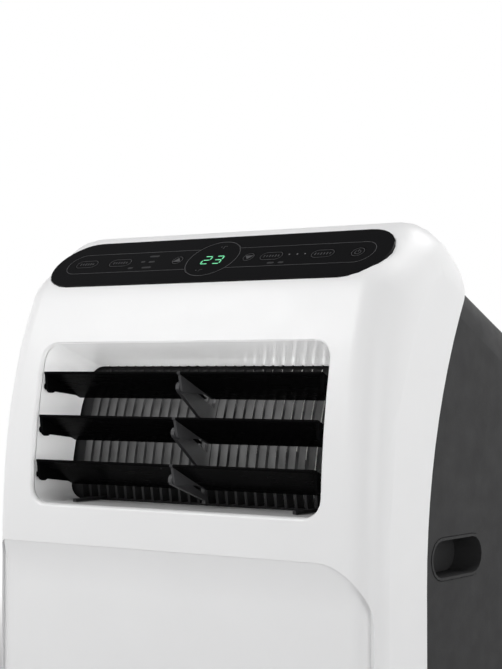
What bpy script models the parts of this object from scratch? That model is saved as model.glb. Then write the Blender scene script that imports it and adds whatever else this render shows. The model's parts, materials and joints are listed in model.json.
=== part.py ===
"""Portable air conditioner: an upright cabinet on four casters.

Front is -Y, up is +Z, and the origin is on the floor under the middle of the body.
Sizes are in millimetres; MM turns them into Blender's metres when a mesh is made.
"""
from math import acos, cos, hypot, pi, radians, sin, sqrt

import bmesh
import bpy
from mathutils import Matrix, Vector

MM = 0.001
GAP = 0.4                      # running and fitting clearance between separate pieces

# ---------------------------------------------------------------- driving dimensions
HALF_WIDTH = 172.0             # outside of the white front shell
REAR_HALF_WIDTH = 170.6        # outside of the dark rear shell
BODY_BOTTOM = 42.0             # underside of the shells above the floor
WALL = 3.0                     # moulded wall thickness
CREASE_TOP = 458.5             # upper edge of the recessed lower front
SHELF_INNER = 146.0            # stiffening shelf of the rear shell over each grip: inner end, and heights
SHELF_Z = (480.0, 482.5)
CREASE_STEP = 0.4              # depth of the recess at its upper edge
CREASE_DEPTH = 5.0             # its depth from the end of the slope down
CREASE_SLOPE = 32.0            # height over which it deepens
CREASE_WALL = 1.9              # wall left behind the recess
CREASE_HALF = 168.0
CREASE_CORNERS = (40.0, 12.0)  # radii of the right and left upper corners
CREASE_BACK_Y = -140.0         # where the recess ends in the side roundings

# Side-view rows of the front shell: outer line (y, z), edge guide (y, z), width of the edge rounding.
FRONT_ROWS = (
    (-147.0, BODY_BOTTOM, -127.0, BODY_BOTTOM, 22.0),
    (-152.5, 140.0, -130.0, 140.0, 23.0),
    (-152.5, 420.0, -130.0, 430.0, 23.0),
    (-151.6, 490.0, -126.5, 495.0, 23.0),
    (-147.2, 548.0, -119.0, 552.0, 24.0),
    (-137.5, 603.0, -103.0, 597.0, 26.0),
    (-126.0, 637.0, -93.0, 618.0, 28.0),
    (-117.4, 653.1, -87.0, 630.0, 27.0),
    (-95.5, 669.7, -77.0, 644.0, 26.0),
    (-73.6, 686.3, -66.0, 651.0, 28.0),
    (-61.0, 692.4, -58.0, 654.0, 33.0),
    (-46.0, 692.6, -48.0, 653.0, 36.0),
    (-28.0, 685.0, -38.0, 648.0, 37.0),
    (-15.0, 673.0, -28.0, 641.0, 35.0),
    (-11.0, 656.0, -23.0, 633.0, 33.0),
    (-11.0, 600.0, -23.0, 600.0, 33.0),
    (-11.0, BODY_BOTTOM, -23.0, BODY_BOTTOM, 33.0),
)
# The same for the dark rear shell, from the bottom of its back up over its sloping top.
REAR_ROWS = (
    (148.5, BODY_BOTTOM, 116.0, BODY_BOTTOM, 32.0),
    (148.5, 290.0, 116.0, 290.0, 32.0),
    (148.5, 524.0, 115.0, 512.0, 32.0),
    (147.0, 552.0, 110.0, 534.0, 33.0),
    (141.0, 577.0, 100.0, 551.0, 34.0),
    (127.0, 595.5, 90.0, 564.0, 36.0),
    (100.0, 610.5, 75.0, 574.0, 38.0),
    (60.0, 628.5, 45.0, 590.0, 40.0),
    (0.0, 655.5, -8.0, 615.0, 40.0),
    (-40.0, 673.5, -44.0, 632.0, 40.0),
    (-90.0, 682.0, -80.0, 638.0, 38.0),
    (-130.0, 640.0, -96.0, 620.0, 32.0),
    (-130.0, 300.0, -96.0, 300.0, 32.0),
    (-130.0, BODY_BOTTOM, -96.0, BODY_BOTTOM, 32.0),
)
# Seam between the shells: upright, then an arc leaning back, then the lip of the front shell.
SEAM_Y = -79.6
SEAM_TURN_Z = 437.0
SEAM_RADIUS = 398.0
LIP_Y = -11.0

# Air outlet in the front, with its duct, guard and louvres.
VENT_HALF = 130.1
VENT_LOW = 488.0
VENT_HIGH = 607.7
VENT_CORNER = 13.0
DUCT_WALL = 2.0
DUCT_SET_BACK = 3.9            # from the face to the duct's front end, behind the shell's wall
DUCT_REAR_HIGH = 590.6
DUCT_REAR_CORNER = 10.0
RIM_ROUND = 3.2
SIDE_PARTS = 4                 # divisions of the outlet's upright sides
SIDE_STEP = (VENT_HIGH - VENT_LOW - 2 * VENT_CORNER) / SIDE_PARTS
GUARD_LINE = (
    (-100.0, 481.0), (-103.2, 501.0), (-98.5, 532.0), (-89.5, 564.0), (-77.5, 590.0), (-73.0, 598.0),
)
GUARD_DEPTH = 9.0
RIB_PITCH = 8.7
RIB_WIDTH = 2.2
RIB_SLOTS = int(2 * (VENT_HALF - 4) / RIB_PITCH)
PRONG_X = 100.0
PRONG_TIP_Y = -136.0
BLADE_HALF = 126.0
BLADE_CHORD = 46.0
BLADE_THICK = 2.2
BLADE_DROP = radians(25.0)     # how steeply a blade falls towards the back at rest
BLADE_FRONTS = ((-141.6, 586.0), (-147.1, 553.4), (-150.2, 519.8))
PIVOT_BACK = 7.4               # blade pivot behind and below its front edge
PIVOT_BELOW = 10.8
LINK_PIN = (22.0, -8.0)        # link pin from the blade pivot, y and z
EAR_NEAR, EAR_FAR = 2.2, 4.4

# Control panel, on the sloping face at the top of the front.
PANEL_CENTRE = (-95.6, 669.6)  # y, z of the display's centre on the sloping face
PANEL_TILT = radians(37.2)     # slope of the face above the horizontal
PANEL_HALF_STRAIGHT = 124.5
PANEL_RADIUS = 29.0
PANEL_THICK = 2.6
PANEL_PROUD = 0.8
DISPLAY_RADIUS = 22.5
KEY_THICK = 2.0
KEYS = (                       # name, place along the panel, half length, radius
    ("key_timer", -122.2, 11.0, 5.4),
    ("key_mode", -88.6, 11.0, 5.4),
    ("key_up", -32.8, 5.4, 5.4),
    ("key_down", 32.8, 5.4, 5.4),
    ("key_speed", 53.1, 10.2, 5.4),
    ("key_swing", 97.4, 10.0, 5.4),
    ("key_power", 126.8, 6.0, 6.0),
)

# Back of the cabinet, from the top down.
UPPER_INTAKE = (-122.0, 122.0, 398.0, 522.0)
EXHAUST_CENTRE = (-58.0, 296.0)
EXHAUST_RADIUS = 66.0
LOWER_INTAKE = (-112.0, 112.0, 92.0, 218.0)
REAR_Y = 148.5
BACK_MOST_Y = 152.5
DRAIN_UPPER = (112.0, 318.0)
DRAIN_LOWER = (0.0, 60.0)
CORD_INLET = (112.0, 262.0)

# Side grip pockets.
GRIP_Y = (-71.0, 4.0)
GRIP_Z = (440.0, 470.0)
GRIP_DEPTH = 24.0

# Casters.
CASTER_X = 124.0
CASTER_Y = 98.0
WHEEL_RADIUS = 16.0
WHEEL_WIDTH = 13.0
CASTER_TRAIL = 10.0

# Inner machinery.
EVAP_WHEEL_CENTRE = (0.0, 460.0)     # x, z of its fore-and-aft axis
EVAP_WHEEL_RADIUS = 64.0
COND_WHEEL_CENTRE = (-52.0, 205.0)
COND_WHEEL_RADIUS = 62.0
COMPRESSOR_CENTRE = (70.0, -62.0)
SCROLL_HALF = 142.0


# ---------------------------------------------------------------- outlines
def arc(cx, cy, radius, start, end, steps):
    """Points on an arc, both ends included; angles in degrees."""
    return [(cx + radius * cos(radians(start + (end - start) * i / steps)),
             cy + radius * sin(radians(start + (end - start) * i / steps))) for i in range(steps + 1)]


def circle(cx, cy, radius, steps):
    return arc(cx, cy, radius, 0, 360, steps)[:-1]


def rounded_rect(x0, x1, y0, y1, radius, steps=5):
    return (arc(x1 - radius, y0 + radius, radius, -90, 0, steps)
            + arc(x1 - radius, y1 - radius, radius, 0, 90, steps)
            + arc(x0 + radius, y1 - radius, radius, 90, 180, steps)
            + arc(x0 + radius, y0 + radius, radius, 180, 270, steps))


def with_upright_steps(outline, longest):
    """The outline with its long upright sides divided, so that they can follow a curved face."""
    out = []
    for (x0, z0), (x1, z1) in zip(outline, outline[1:] + outline[:1]):
        parts = max(1, round(abs(z1 - z0) / longest)) if abs(x1 - x0) < 0.01 else 1
        out += [(x0 + (x1 - x0) * k / parts, z0 + (z1 - z0) * k / parts) for k in range(parts)]
    return out


def stadium(cx, cy, half_length, radius, steps=10):
    """Outline with round ends; a circle when half_length equals radius."""
    straight = half_length - radius
    if straight < 0.01:
        return circle(cx, cy, radius, 2 * steps)
    return arc(cx + straight, cy, radius, -90, 90, steps) + arc(cx - straight, cy, radius, 90, 270, steps)


def spline(rows, steps):
    """Smooth curve through rows of numbers, paced by distance, with steps points for each stretch."""
    pace = [0.0]
    for a, b in zip(rows, rows[1:]):
        pace.append(pace[-1] + sqrt(sum((q - p) ** 2 for p, q in zip(a, b))))
    slopes = []
    for i in range(len(rows)):
        before, after = max(i - 1, 0), min(i + 1, len(rows) - 1)
        slopes.append([(q - p) / (pace[after] - pace[before]) for p, q in zip(rows[before], rows[after])])
    out = []
    for i in range(len(rows) - 1):
        span = pace[i + 1] - pace[i]
        for k in range(steps):
            t = k / steps
            ease = t * t * (3 - 2 * t)
            leave, arrive = t * (1 - t) ** 2 * span, t * t * (t - 1) * span
            out.append(tuple(p + (q - p) * ease + m * leave + n * arrive
                             for p, q, m, n in zip(rows[i], rows[i + 1], slopes[i], slopes[i + 1])))
    out.append(tuple(rows[-1]))
    return out


def interpolate(line, z):
    """The y of a rising line of (y, z) points at height z."""
    for (y0, z0), (y1, z1) in zip(line, line[1:]):
        if z <= z1:
            return y0 + (y1 - y0) * (z - z0) / (z1 - z0)
    return line[-1][0]


FRONT_LINE = [(row[0], row[1]) for row in spline(FRONT_ROWS[:8], 8)]
FRONT_GUIDE = [(row[2], row[3]) for row in FRONT_ROWS[:5]]
SIDE_ROUND = FRONT_ROWS[2][4]
GUARD_FRONT = spline(GUARD_LINE, 3)


def face_y(z):
    """Outside of the front shell at height z, between its side roundings."""
    return interpolate(FRONT_LINE, z)


def guard_y(z):
    """Front of the guard's ribs at height z."""
    return interpolate(GUARD_FRONT, z)


# ---------------------------------------------------------------- materials
def material(name, colour, roughness, metallic=0.0):
    mat = bpy.data.materials.new(name)
    mat.use_nodes = True
    shader = mat.node_tree.nodes["Principled BSDF"]
    shader.inputs["Base Color"].default_value = (*colour, 1.0)
    shader.inputs["Roughness"].default_value = roughness
    shader.inputs["Metallic"].default_value = metallic
    mat.diffuse_color = (*colour, 1.0)
    return mat


def make_materials():
    return {
        "white": material("white_plastic", (0.86, 0.86, 0.86), 0.35),
        "duct": material("duct_plastic", (0.80, 0.80, 0.80), 0.45),
        "dark": material("charcoal_plastic", (0.06, 0.06, 0.063), 0.5),
        "black": material("black_plastic", (0.01, 0.01, 0.011), 0.3),
        "gloss": material("gloss_black", (0.006, 0.006, 0.006), 0.08),
        "foam": material("white_foam", (0.75, 0.75, 0.75), 0.9),
        "grey": material("grey_plastic", (0.3, 0.3, 0.3), 0.5),
        "steel": material("steel", (0.55, 0.55, 0.56), 0.35, 1.0),
        "fins": material("aluminium_fins", (0.75, 0.76, 0.78), 0.4, 1.0),
        "copper": material("copper_pipe", (0.72, 0.36, 0.2), 0.3, 1.0),
        "board": material("circuit_board", (0.02, 0.16, 0.06), 0.6),
        "mesh": material("filter_mesh", (0.12, 0.12, 0.13), 0.9),
        "paint": material("black_paint", (0.015, 0.015, 0.015), 0.4),
        "tyre": material("caster_tread", (0.05, 0.05, 0.05), 0.7),
    }


# ---------------------------------------------------------------- mesh making
def add_object(name, bm, mat, origin=(0, 0, 0), turn=None, smooth=30):
    """Make a mesh object from a bmesh in millimetres about its own origin."""
    bmesh.ops.recalc_face_normals(bm, faces=bm.faces)
    if bm.calc_volume(signed=True) < 0:
        bmesh.ops.reverse_faces(bm, faces=bm.faces)
    bmesh.ops.scale(bm, vec=(MM, MM, MM), verts=bm.verts)
    mesh = bpy.data.meshes.new(name)
    bm.to_mesh(mesh)
    bm.free()
    mesh.shade_smooth()
    mesh.set_sharp_from_angle(angle=radians(smooth))
    obj = bpy.data.objects.new(name, mesh)
    bpy.context.scene.collection.objects.link(obj)
    if mat:
        mesh.materials.append(mat)
    obj.location = Vector(origin) * MM
    if turn:
        obj.rotation_euler = turn
    return obj


def place(axis, u, v, w):
    """A point from two outline coordinates and a distance along the extrusion axis."""
    return {"X": (w, u, v), "Y": (u, w, v), "Z": (u, v, w)}[axis]


def prism_into(bm, outline, axis, low, high):
    """Add an outline extruded along an axis: (y, z) on X, (x, z) on Y, (x, y) on Z."""
    rings = [[bm.verts.new(place(axis, u, v, w)) for u, v in outline] for w in (low, high)]
    loft_into(bm, rings)


def loft_into(bm, rings, closed=False):
    """Skin rings of equal length; cap both ends, or join the last to the first."""
    count = len(rings[0])
    pairs = list(zip(rings, rings[1:]))
    if closed:
        pairs.append((rings[-1], rings[0]))
    for a, b in pairs:
        for i in range(count):
            j = (i + 1) % count
            bm.faces.new((a[i], a[j], b[j], b[i]))
    if not closed:
        bm.faces.new(rings[0])
        bm.faces.new(rings[-1])


def prism(name, mat, outline, axis, low, high, origin=(0, 0, 0), turn=None):
    bm = bmesh.new()
    prism_into(bm, outline, axis, low, high)
    return add_object(name, bm, mat, origin, turn)


def box_into(bm, x0, x1, y0, y1, z0, z1):
    prism_into(bm, [(x0, y0), (x1, y0), (x1, y1), (x0, y1)], "Z", z0, z1)


def box(name, mat, x0, x1, y0, y1, z0, z1, bevel=0.0, origin=(0, 0, 0), turn=None):
    bm = bmesh.new()
    box_into(bm, x0, x1, y0, y1, z0, z1)
    if bevel:
        bmesh.ops.bevel(bm, geom=bm.edges[:], offset=bevel, segments=1, affect="EDGES")
    return add_object(name, bm, mat, origin, turn)


def turned(name, mat, profile, axis, steps, origin=(0, 0, 0), turn=None):
    """Solid turned about an axis from a closed profile of (radius, distance along the axis)."""
    bm = bmesh.new()
    turned_into(bm, profile, axis, steps)
    return add_object(name, bm, mat, origin, turn)


def turned_into(bm, profile, axis, steps, centre=(0.0, 0.0)):
    """Profiles off the axis close on themselves; those that start and end at radius 0 close on the axis."""
    on_axis = profile[0][0] == 0
    rings = []
    for radius, along in profile:
        if radius == 0:
            rings.append([bm.verts.new(place(axis, centre[0], centre[1], along))])
        else:
            rings.append([bm.verts.new(place(axis, centre[0] + radius * cos(2 * pi * k / steps),
                                             centre[1] + radius * sin(2 * pi * k / steps), along))
                          for k in range(steps)])
    pairs = list(zip(rings, rings[1:]))
    if not on_axis:
        pairs.append((rings[-1], rings[0]))
    for a, b in pairs:
        for k in range(steps):
            j = (k + 1) % steps
            if len(a) == 1:
                bm.faces.new((a[0], b[j], b[k]))
            elif len(b) == 1:
                bm.faces.new((a[k], a[j], b[0]))
            else:
                bm.faces.new((a[k], a[j], b[j], b[k]))


def helper(obj):
    """Mark an object as a cutter or a joining shape that is not part of the model."""
    obj.hide_render = True
    obj.display_type = "WIRE"
    return obj


def combine(target, other, operation):
    helper(other)
    mod = target.modifiers.new(other.name, "BOOLEAN")
    mod.operation = operation
    mod.object = other
    return target


def cut(target, *cutters):
    for cutter in cutters:
        combine(target, cutter, "DIFFERENCE")
    return target


def join(target, *pieces):
    for piece in pieces:
        combine(target, piece, "UNION")
    return target


# ---------------------------------------------------------------- cabinet shells
def pillow(name, mat, rows, half_width, inset=0.0, below=0.0, edge_steps=6, steps=3):
    """Closed body from side-view rows: an outer line, rounded over to flat sides at its edge guide."""
    rings = spline(rows, steps)
    bm = bmesh.new()
    sections = []
    for y, z, gy, gz, width in rings:
        depth = hypot(gy - y, gz - z)
        y += (gy - y) * inset / depth
        z += (gz - z) * inset / depth
        if abs(z - BODY_BOTTOM) < 0.01:
            z -= below
            gz -= below
        outer = half_width - inset
        round_x = width - inset
        section = []
        for side in (-1, 1):
            angles = range(edge_steps, -1, -1) if side < 0 else range(edge_steps + 1)
            for k in angles:
                t = 0.5 * pi * k / edge_steps
                x = side * (outer - round_x + round_x * sin(t))
                section.append(bm.verts.new((x, gy + (y - gy) * cos(t), gz + (z - gz) * cos(t))))
        sections.append(section)
    count = len(sections[0])
    for a, b in zip(sections, sections[1:] + sections[:1]):
        for i in range(count - 1):
            bm.faces.new((a[i], a[i + 1], b[i + 1], b[i]))
    bm.faces.new([section[0] for section in sections])
    bm.faces.new([section[-1] for section in sections])
    return add_object(name, bm, mat)


def seam_outline(shift, edge):
    """Side-view outline of the space on one side of the seam, from the seam out to y = edge."""
    top_angle = acos((SEAM_RADIUS + SEAM_Y - LIP_Y) / SEAM_RADIUS)
    seam = [(SEAM_Y + shift, BODY_BOTTOM - 20)]
    for k in range(13):
        angle = top_angle * k / 12
        seam.append((SEAM_Y + shift + SEAM_RADIUS * (1 - cos(angle)), SEAM_TURN_Z + SEAM_RADIUS * sin(angle)))
    seam.append((LIP_Y + shift, 720.0))
    return seam + [(edge, 720.0), (edge, BODY_BOTTOM - 20)]


def vent_ring(bm, spread, low, high, half, corner, depth_at):
    """One ring of the outlet's rounded outline; depth_at gives y from the height."""
    outline = with_upright_steps(
        rounded_rect(-half - spread, half + spread, low - spread, high + spread, corner + spread, 5),
        SIDE_STEP)
    return [bm.verts.new((x, depth_at(min(max(z, low), high)), z)) for x, z in outline]


def vent_cutter():
    """Cutter for the outlet, flared at the front so that the rim is rounded."""
    bm = bmesh.new()
    rings = [vent_ring(bm, RIM_ROUND, VENT_LOW, VENT_HIGH, VENT_HALF, VENT_CORNER, lambda z: face_y(z) - 6)]
    for k in range(1, 10):
        t = 0.5 * pi * k / 9
        spread = RIM_ROUND * (1 - sin(t))
        back = RIM_ROUND * (1 - cos(t)) - 0.15
        rings.append(vent_ring(bm, spread, VENT_LOW, VENT_HIGH, VENT_HALF, VENT_CORNER,
                               lambda z, back=back: face_y(z) + back))
    rings.append(vent_ring(bm, 0.0, VENT_LOW, VENT_HIGH, VENT_HALF, VENT_CORNER, lambda z: -90.0))
    loft_into(bm, rings)
    return add_object("vent_cutter", bm, None)


def panel_space(name, thickness, clearance, lift):
    """Stadium solid on the sloping face, sunk by its thickness; used as the panel's pocket."""
    outline = stadium(0, 0, PANEL_HALF_STRAIGHT + PANEL_RADIUS + clearance, PANEL_RADIUS + clearance, 12)
    return prism(name, None, outline, "Z", -thickness, lift, (0, *PANEL_CENTRE), (PANEL_TILT, 0, 0))


def crease_depth(z):
    """Depth of the lower front's recess at height z."""
    drop = min(max(CREASE_TOP - z, 0.0), CREASE_SLOPE)
    return CREASE_STEP + (CREASE_DEPTH - CREASE_STEP) * (1 - (1 - drop / CREASE_SLOPE) ** 2)


def crease_core(name, wall):
    """Body of the lower front behind the recess, less a wall; its roundings follow the shell's."""
    slope = [CREASE_TOP - CREASE_SLOPE * k / 8 for k in range(9)]
    bm = bmesh.new()
    rings = []
    for z in [CREASE_TOP + 30.0] + slope + [300.0, 140.0, BODY_BOTTOM, 10.0]:
        inset = crease_depth(z) + wall
        guide = interpolate(FRONT_GUIDE, z)
        reach = guide - face_y(z) - inset
        round_x = SIDE_ROUND - inset
        flat = HALF_WIDTH - SIDE_ROUND
        turns = [0.5 * pi * k / 6 for k in range(7)]
        right = [(flat + round_x * sin(t), guide - reach * cos(t)) for t in turns]
        right.append((flat + round_x, guide + 50.0))
        outline = [(-x, y) for x, y in right[::-1]] + right
        rings.append([bm.verts.new((x, y, z)) for x, y in outline])
    loft_into(bm, rings)
    return add_object(name, bm, None)


def crease_region(name, margin):
    """Space of the recess in the lower front, grown by a margin at its outline and its floor."""
    top, half = CREASE_TOP + margin, CREASE_HALF + margin
    right, left = CREASE_CORNERS
    outline = ([(-half, 20.0), (half, 20.0)] + arc(half - right, top - right, right, 0, 90, 10)
               + arc(left - half, top - left, left, 90, 180, 6))
    skin = prism(name, None, outline, "Y", -165.0, CREASE_BACK_Y + margin)
    return cut(skin, crease_core(name + "_core", margin))


def grip_outline(margin):
    middle = 0.5 * (GRIP_Z[0] + GRIP_Z[1])
    half = 0.5 * (GRIP_Y[1] - GRIP_Y[0])
    return stadium(0.5 * (GRIP_Y[0] + GRIP_Y[1]), middle, half + margin, middle - GRIP_Z[0] + margin, 8)


def make_front_shell(mats):
    shell = pillow("front_shell", mats["white"], FRONT_ROWS, HALF_WIDTH)
    hollow = pillow("front_hollow", None, FRONT_ROWS, HALF_WIDTH, inset=WALL, below=12.0,
                    edge_steps=3, steps=2)
    cut(hollow, crease_region("crease_back", CREASE_WALL))
    cut(shell, hollow)
    cut(shell, prism("front_rear_cut", None, seam_outline(0.0, 40.0), "X", -200, 200))
    cut(shell, vent_cutter(), crease_region("crease", 0.0))
    cut(shell, panel_space("panel_pocket", PANEL_THICK - PANEL_PROUD + GAP, GAP, 12.0))
    cut(shell, prism("ribbon_slot", None, rounded_rect(-14, 14, -8, 8, 3), "Z", -12, 2,
                     (0, *PANEL_CENTRE), (PANEL_TILT, 0, 0)))
    return shell


def make_rear_shell(mats):
    shell = pillow("rear_shell", mats["dark"], REAR_ROWS, REAR_HALF_WIDTH, edge_steps=5, steps=2)
    cut(shell, pillow("rear_hollow", None, REAR_ROWS, REAR_HALF_WIDTH, inset=WALL, below=12.0,
                      edge_steps=3, steps=2))
    cut(shell, prism("rear_front_cut", None, seam_outline(0.6, -160.0), "X", -200, 200))
    for name, side in (("left", -1), ("right", 1)):
        reach = sorted((side * 155, side * 190))
        cut(shell, prism("grip_hole_" + name, None, grip_outline(GAP), "X", *reach))
        shelf = sorted((side * SHELF_INNER, side * (REAR_HALF_WIDTH - 1.0)))
        join(shell, box("grip_shelf_" + name, None, *shelf, GRIP_Y[0] - 2.0, GRIP_Y[1] + 6.0, *SHELF_Z))
    x0, x1, z0, z1 = UPPER_INTAKE
    cut(shell, prism("upper_intake_hole", None, rounded_rect(x0, x1, z0, z1, 8), "Y", 120, 170))
    x0, x1, z0, z1 = LOWER_INTAKE
    cut(shell, prism("lower_intake_hole", None, rounded_rect(x0, x1, z0, z1, 8), "Y", 120, 170))
    collar_hole = circle(*EXHAUST_CENTRE, EXHAUST_RADIUS + GAP + 0.3, 40)
    cut(shell, prism("exhaust_hole", None, collar_hole, "Y", 120, 170))
    for name, centre, radius in (("drain_upper", DRAIN_UPPER, 9.0), ("drain_lower", DRAIN_LOWER, 9.0),
                                 ("cord", CORD_INLET, 11.0)):
        cut(shell, prism(name + "_hole", None, circle(*centre, radius + GAP + 0.2, 18), "Y", 120, 170))
    return shell


def make_grip_cup(mats, name, side):
    """Open pocket let into the side, with a flange behind the wall and a soft rim in front of it."""
    outer = side * (REAR_HALF_WIDTH + 0.4)
    inner = side * (REAR_HALF_WIDTH - GRIP_DEPTH)
    cup = prism(name, mats["dark"], grip_outline(0.0), "X", *sorted((outer, inner)))
    pocket = prism(name + "_pocket", None, grip_outline(-2.0), "X",
                   *sorted((outer + side * 5, inner + side * 2)))
    behind = REAR_HALF_WIDTH - WALL - GAP
    flange = prism(name + "_flange", None, grip_outline(5.0), "X",
                   *sorted((side * behind, side * (behind - 2))))
    return cut(join(cup, flange), pocket)


# ---------------------------------------------------------------- outlet
def make_outlet_duct(mats):
    """Tube from the front rim back to the guard, its ceiling sloping down, notched over each rib."""
    bm = bmesh.new()
    stages = 5
    shells = []
    for spread in (0.0, DUCT_WALL):
        rings = []
        for k in range(stages + 1):
            t = k / stages
            high = VENT_HIGH + (DUCT_REAR_HIGH - VENT_HIGH) * t
            corner = VENT_CORNER + (DUCT_REAR_CORNER - VENT_CORNER) * t
            outline = with_upright_steps(
                rounded_rect(-VENT_HALF - spread, VENT_HALF + spread, VENT_LOW - spread, high + spread,
                             corner + spread, 5), (high - VENT_LOW - 2 * corner) / SIDE_PARTS)
            ring = []
            for x, z in outline:
                front = face_y(min(max(z, VENT_LOW), VENT_HIGH)) + DUCT_SET_BACK
                back = guard_y(min(max(z, VENT_LOW), DUCT_REAR_HIGH)) - 2.0
                ring.append(bm.verts.new((x, front + (back - front) * t, z)))
            rings.append(ring)
        shells.append(rings)
    loft_into(bm, shells[0] + shells[1][::-1], closed=True)
    duct = add_object("outlet_duct", bm, mats["duct"])
    bm = bmesh.new()
    for y, z in (blade_pivot(i) for i in range(3)):
        prism_into(bm, circle(y, z, 2.5 + GAP, 16), "X", -140, 140)
    flat_half = VENT_HALF - DUCT_REAR_CORNER - 2.0
    back = guard_y(DUCT_REAR_HIGH)
    for k in range(1, RIB_SLOTS):
        x = (k - RIB_SLOTS / 2) * RIB_PITCH
        if abs(x) < flat_half:
            box_into(bm, x - 0.9, x + 0.9, back - 4.5, back + 2.0, DUCT_REAR_HIGH - 3.0, DUCT_REAR_HIGH + 1.3)
    return cut(duct, add_object("duct_holes", bm, None))


def guard_outline(front, back, low, high, steps=8):
    """Side-view outline that follows the guard's front line between two depths."""
    zs = [low + (high - low) * k / steps for k in range(steps + 1)]
    return [(guard_y(z) + front, z) for z in zs] + [(guard_y(z) + back, z) for z in reversed(zs)]


def make_guard_grille(mats):
    """Curved plate behind the duct, cut into upright ribs, with two prongs along the duct's floor."""
    plate = prism("guard_grille", mats["black"], guard_outline(0, GUARD_DEPTH, 484, 595, 7), "X", -134, 134)
    bm = bmesh.new()
    for k in range(RIB_SLOTS):
        middle = (k - (RIB_SLOTS - 1) / 2) * RIB_PITCH
        half = 0.5 * (RIB_PITCH - RIB_WIDTH)
        prism_into(bm, guard_outline(-6, GUARD_DEPTH + 6, 489.5, 588, 3), "X", middle - half, middle + half)
    cut(plate, add_object("rib_slots", bm, None))
    prongs = bmesh.new()
    for side in (-1, 1):
        box_into(prongs, side * PRONG_X - 1.5, side * PRONG_X + 1.5, PRONG_TIP_Y, -98.0,
                 VENT_LOW + GAP, VENT_LOW + GAP + 2.4)
    return join(plate, add_object("guard_prongs", prongs, None))


def blade_pivot(index):
    y, z = BLADE_FRONTS[index]
    return y + PIVOT_BACK, z - PIVOT_BELOW


def blade_point(along, up):
    """A point of the blade's side view, from its pivot: distance back along the chord, and above it."""
    y = -PIVOT_BACK + along * cos(BLADE_DROP) + up * sin(BLADE_DROP)
    z = PIVOT_BELOW - along * sin(BLADE_DROP) + up * cos(BLADE_DROP)
    return y, z


def make_louvre(mats, index):
    """Blade with tapered end plates, end pins, a middle ear with its pin, and a pin for the link."""
    name = "louvre_%d" % (index + 1)
    y, z = blade_pivot(index)
    origin = (0, y, z)
    half_thick = 0.5 * BLADE_THICK
    nose = [blade_point(1.1 + 1.1 * cos(a), 1.1 * sin(a)) for a in (radians(90 + 36 * k) for k in range(6))]
    tail = [blade_point(BLADE_CHORD, -0.5), blade_point(BLADE_CHORD, 0.5), blade_point(30, half_thick)]
    blade = prism(name, mats["black"], nose + [blade_point(30, -half_thick)] + tail, "X",
                  -BLADE_HALF, BLADE_HALF, origin)
    ends = bmesh.new()
    chin = [(5.0 * cos(a), 5.0 * sin(a)) for a in (radians(190 + 24 * k) for k in range(6))]
    plate = [blade_point(1.2, 0.3)] + chin + [blade_point(BLADE_CHORD - 4, -0.2), blade_point(30, 0.4)]
    for side in (-1, 1):
        prism_into(ends, plate, "X", *sorted((side * (BLADE_HALF - 2), side * (BLADE_HALF + 0.6))))
    end_piece = add_object(name + "_ends", ends, None, origin)
    pin_y, pin_z = LINK_PIN
    lug = [(9.0, 1.0)] + arc(pin_y, pin_z, 3.0, 215, 350, 4) + [(pin_y + 5.0, pin_z + 4.0)]
    lug_piece = prism(name + "_lug", None, lug, "X", BLADE_HALF - 1.99, BLADE_HALF + 0.59, origin)
    pins = bmesh.new()
    for side in (-1, 1):
        prism_into(pins, circle(0, 0, 2.5, 12), "X",
                   *sorted((side * (BLADE_HALF - 1), side * (VENT_HALF + 1.6))))
    prism_into(pins, circle(pin_y, pin_z, 1.5, 10), "X", BLADE_HALF - 6.4, BLADE_HALF - 1)
    pin_piece = add_object(name + "_pins", pins, None, origin)
    boss = [(4.2 * cos(a), 4.2 * sin(a)) for a in (radians(180 + 27 * k) for k in range(5))]
    ear = prism(name + "_ear", None, [blade_point(0.8, 0.3)] + boss + [blade_point(38, -0.3)], "X",
                EAR_NEAR, EAR_FAR, origin)
    ear_pin = prism(name + "_ear_pin", None, circle(0, 0, 1.6, 12), "X", -1.2, 3.0, origin)
    arm_slot = box(name + "_arm_slot", None, -EAR_NEAR - 0.2, EAR_NEAR - 0.1, 17.0, 60.0, -30.0, 30.0,
                   origin=origin)
    notch = box(name + "_notch", None, BLADE_HALF - 7.4, BLADE_HALF - 2.0, 12.0, 60.0, -30.0, 30.0,
                origin=origin)
    cut(blade, notch, arm_slot)
    return join(blade, end_piece, lug_piece, pin_piece, ear, ear_pin)


def make_louvre_link(mats):
    """Upright bar that keeps the three blades parallel; its origin is on the top blade's link pin."""
    pivots = [blade_pivot(i) for i in range(3)]
    origin = (0, pivots[0][0] + LINK_PIN[0], pivots[0][1] + LINK_PIN[1])
    points = [(y - pivots[0][0], z - pivots[0][1]) for y, z in pivots]
    half = 3.6
    outline = arc(0, 0, half, 0, 180, 6)
    outline += [(points[1][0] - half, points[1][1])]
    outline += arc(points[2][0], points[2][1], half, 180, 360, 6)
    outline += [(points[1][0] + half, points[1][1])]
    bar = prism("louvre_link", mats["black"], outline, "X", BLADE_HALF - 6.0, BLADE_HALF - 3.6, origin)
    bm = bmesh.new()
    for y, z in points:
        prism_into(bm, circle(y, z, 1.5 + GAP, 12), "X", BLADE_HALF - 9, BLADE_HALF)
    return cut(bar, add_object("link_holes", bm, None, origin))


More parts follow.
